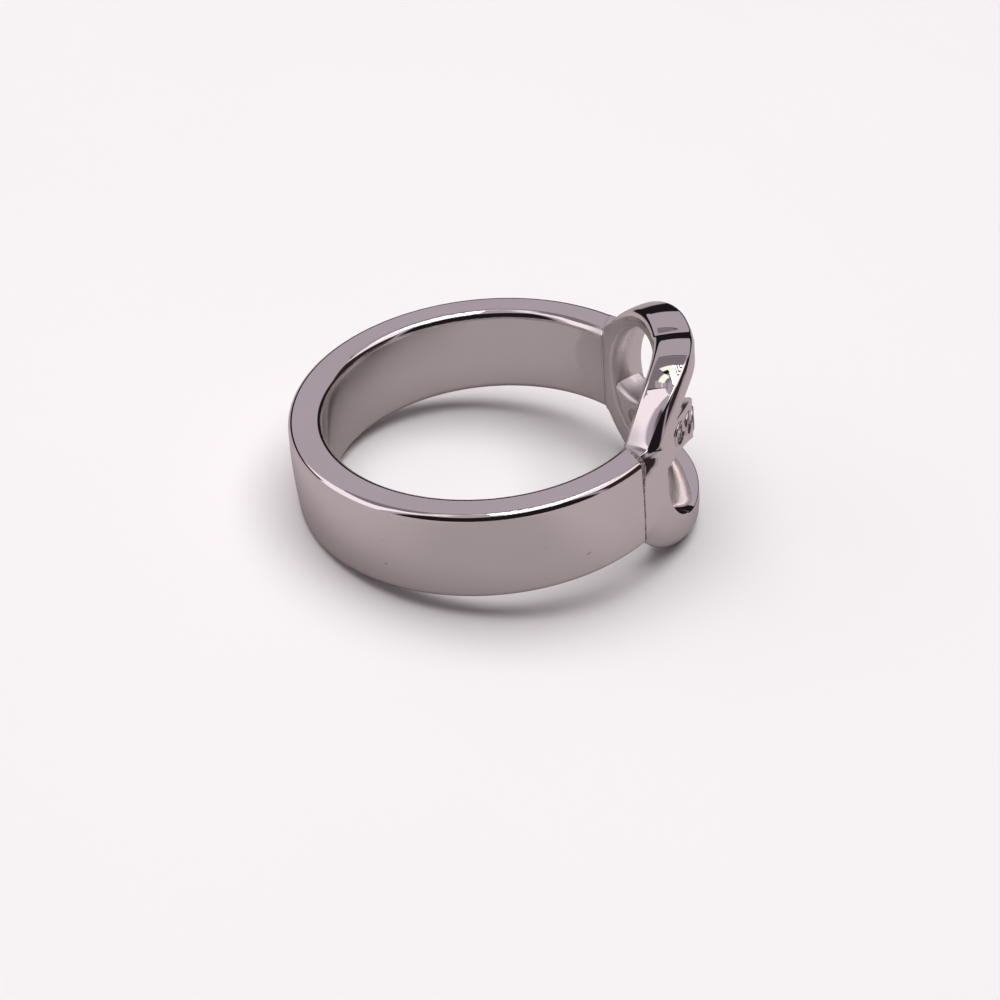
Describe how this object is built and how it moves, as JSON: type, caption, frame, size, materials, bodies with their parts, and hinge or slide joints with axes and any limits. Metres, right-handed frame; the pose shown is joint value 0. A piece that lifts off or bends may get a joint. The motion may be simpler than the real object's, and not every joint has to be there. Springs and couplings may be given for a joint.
{
  "type": "finger ring",
  "caption": "Wide polished metal finger ring with a soldered oval openwork head and a wave-shaped bar of small clear stones in collets.",
  "frame": {"origin": "centre of the finger bore, half way up the band", "axes": "+Z along the finger, +X out through the middle of the head"},
  "size_m": [0.0212, 0.0206, 0.011],
  "materials": {
    "silver": "mirror polished silver with faint polishing haze and hairline scratches",
    "solder": "rough cast-looking solder bead, lightly polished on top",
    "stones": "clear faceted round stones"
  },
  "bodies": {
    "root": {"shank": "silver", "near_seam": "solder", "far_seam": "solder", "near_strap": "silver", "far_strap": "silver", "wave_bar": "silver", "collet_1": "silver", "collet_2": "silver", "collet_3": "silver", "collet_4": "silver", "collet_5": "silver", "collet_6": "silver", "collet_7": "silver", "stone_1": "stones", "stone_2": "stones", "stone_3": "stones", "stone_4": "stones", "stone_5": "stones", "stone_6": "stones", "stone_7": "stones"}
  },
  "joints": []
}
